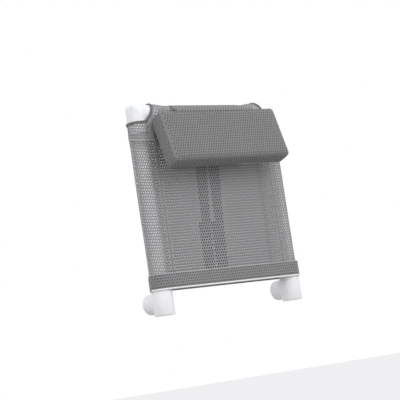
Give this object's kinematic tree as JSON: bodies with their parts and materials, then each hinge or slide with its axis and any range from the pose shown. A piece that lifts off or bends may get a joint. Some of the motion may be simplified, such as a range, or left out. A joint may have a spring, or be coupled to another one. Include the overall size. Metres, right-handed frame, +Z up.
{
  "type": "chair headrest attachment",
  "caption": "Upright pipe frame with a grey open-mesh sling and a strap-on mesh pillow that swings and slides on a flap over the top rail.",
  "frame": {"origin": "midway between the lower ends of the two tees, on the plane of those ends", "axes": "+Z up along the posts, -Y towards the side that the head rests on, +X across, to the right as seen from the front"},
  "size_m": [0.4494, 0.1611, 0.5111],
  "materials": {
    "white_pvc": "satin",
    "sling_mesh": "matte",
    "binding_tape": "matte",
    "white_piping": "satin",
    "pillow_mesh": "matte",
    "flap_mesh": "matte",
    "strap_mesh": "matte",
    "foam": "matte",
    "zipper_tape": "matte",
    "zipper_metal": "satin",
    "hook_and_loop": "matte"
  },
  "bodies": {
    "frame": {"left_post_tube": "white_pvc", "right_post_tube": "white_pvc", "top_rail_tube": "white_pvc", "left_elbow": "white_pvc", "right_elbow": "white_pvc", "left_tee": "white_pvc", "right_tee": "white_pvc", "sling_front_panel": "sling_mesh", "sling_back_panel": "sling_mesh", "sling_rail_sleeve": "sling_mesh", "left_post_sleeve": "sling_mesh", "right_post_sleeve": "sling_mesh", "left_sleeve_cuff": "sling_mesh", "right_sleeve_cuff": "sling_mesh", "left_corner_binding": "binding_tape", "right_corner_binding": "binding_tape", "hem_front_band": "binding_tape", "hem_back_band": "binding_tape", "back_panel_edge_tape": "binding_tape", "hem_piping": "white_piping", "left_loop_strip": "hook_and_loop", "right_loop_strip": "hook_and_loop"},
    "flap": {"pillow_flap": "flap_mesh"},
    "pillow": {"pillow_cover_wrap": "pillow_mesh", "pillow_left_end": "pillow_mesh", "pillow_right_end": "pillow_mesh", "pillow_foam_core": "foam", "pillow_zipper": "zipper_tape", "pillow_zipper_pull": "zipper_metal"},
    "straps": {"left_back_strap": "strap_mesh", "right_back_strap": "strap_mesh", "left_hook_patch": "hook_and_loop", "right_hook_patch": "hook_and_loop"}
  },
  "joints": [
    {"name": "pillow_swing", "type": "hinge", "parent": "frame", "child": "flap", "pos_m": [0, 0, 0.483], "axis": [-1, 0, 0], "range_deg": [0, 110], "deforming": ["pillow_flap"]},
    {"name": "pillow_drop", "type": "slide", "parent": "flap", "child": "pillow", "axis": [0, 0, -1], "range_m": [0, 0.08]},
    {"name": "strap_rise", "type": "slide", "parent": "frame", "child": "straps", "axis": [0, 0, 1], "range_m": [0, 0.08], "deforming": ["left_back_strap", "right_back_strap"]}
  ],
  "couplings": [
    {"joint": "strap_rise", "follows": "pillow_drop", "ratio": 1}
  ]
}
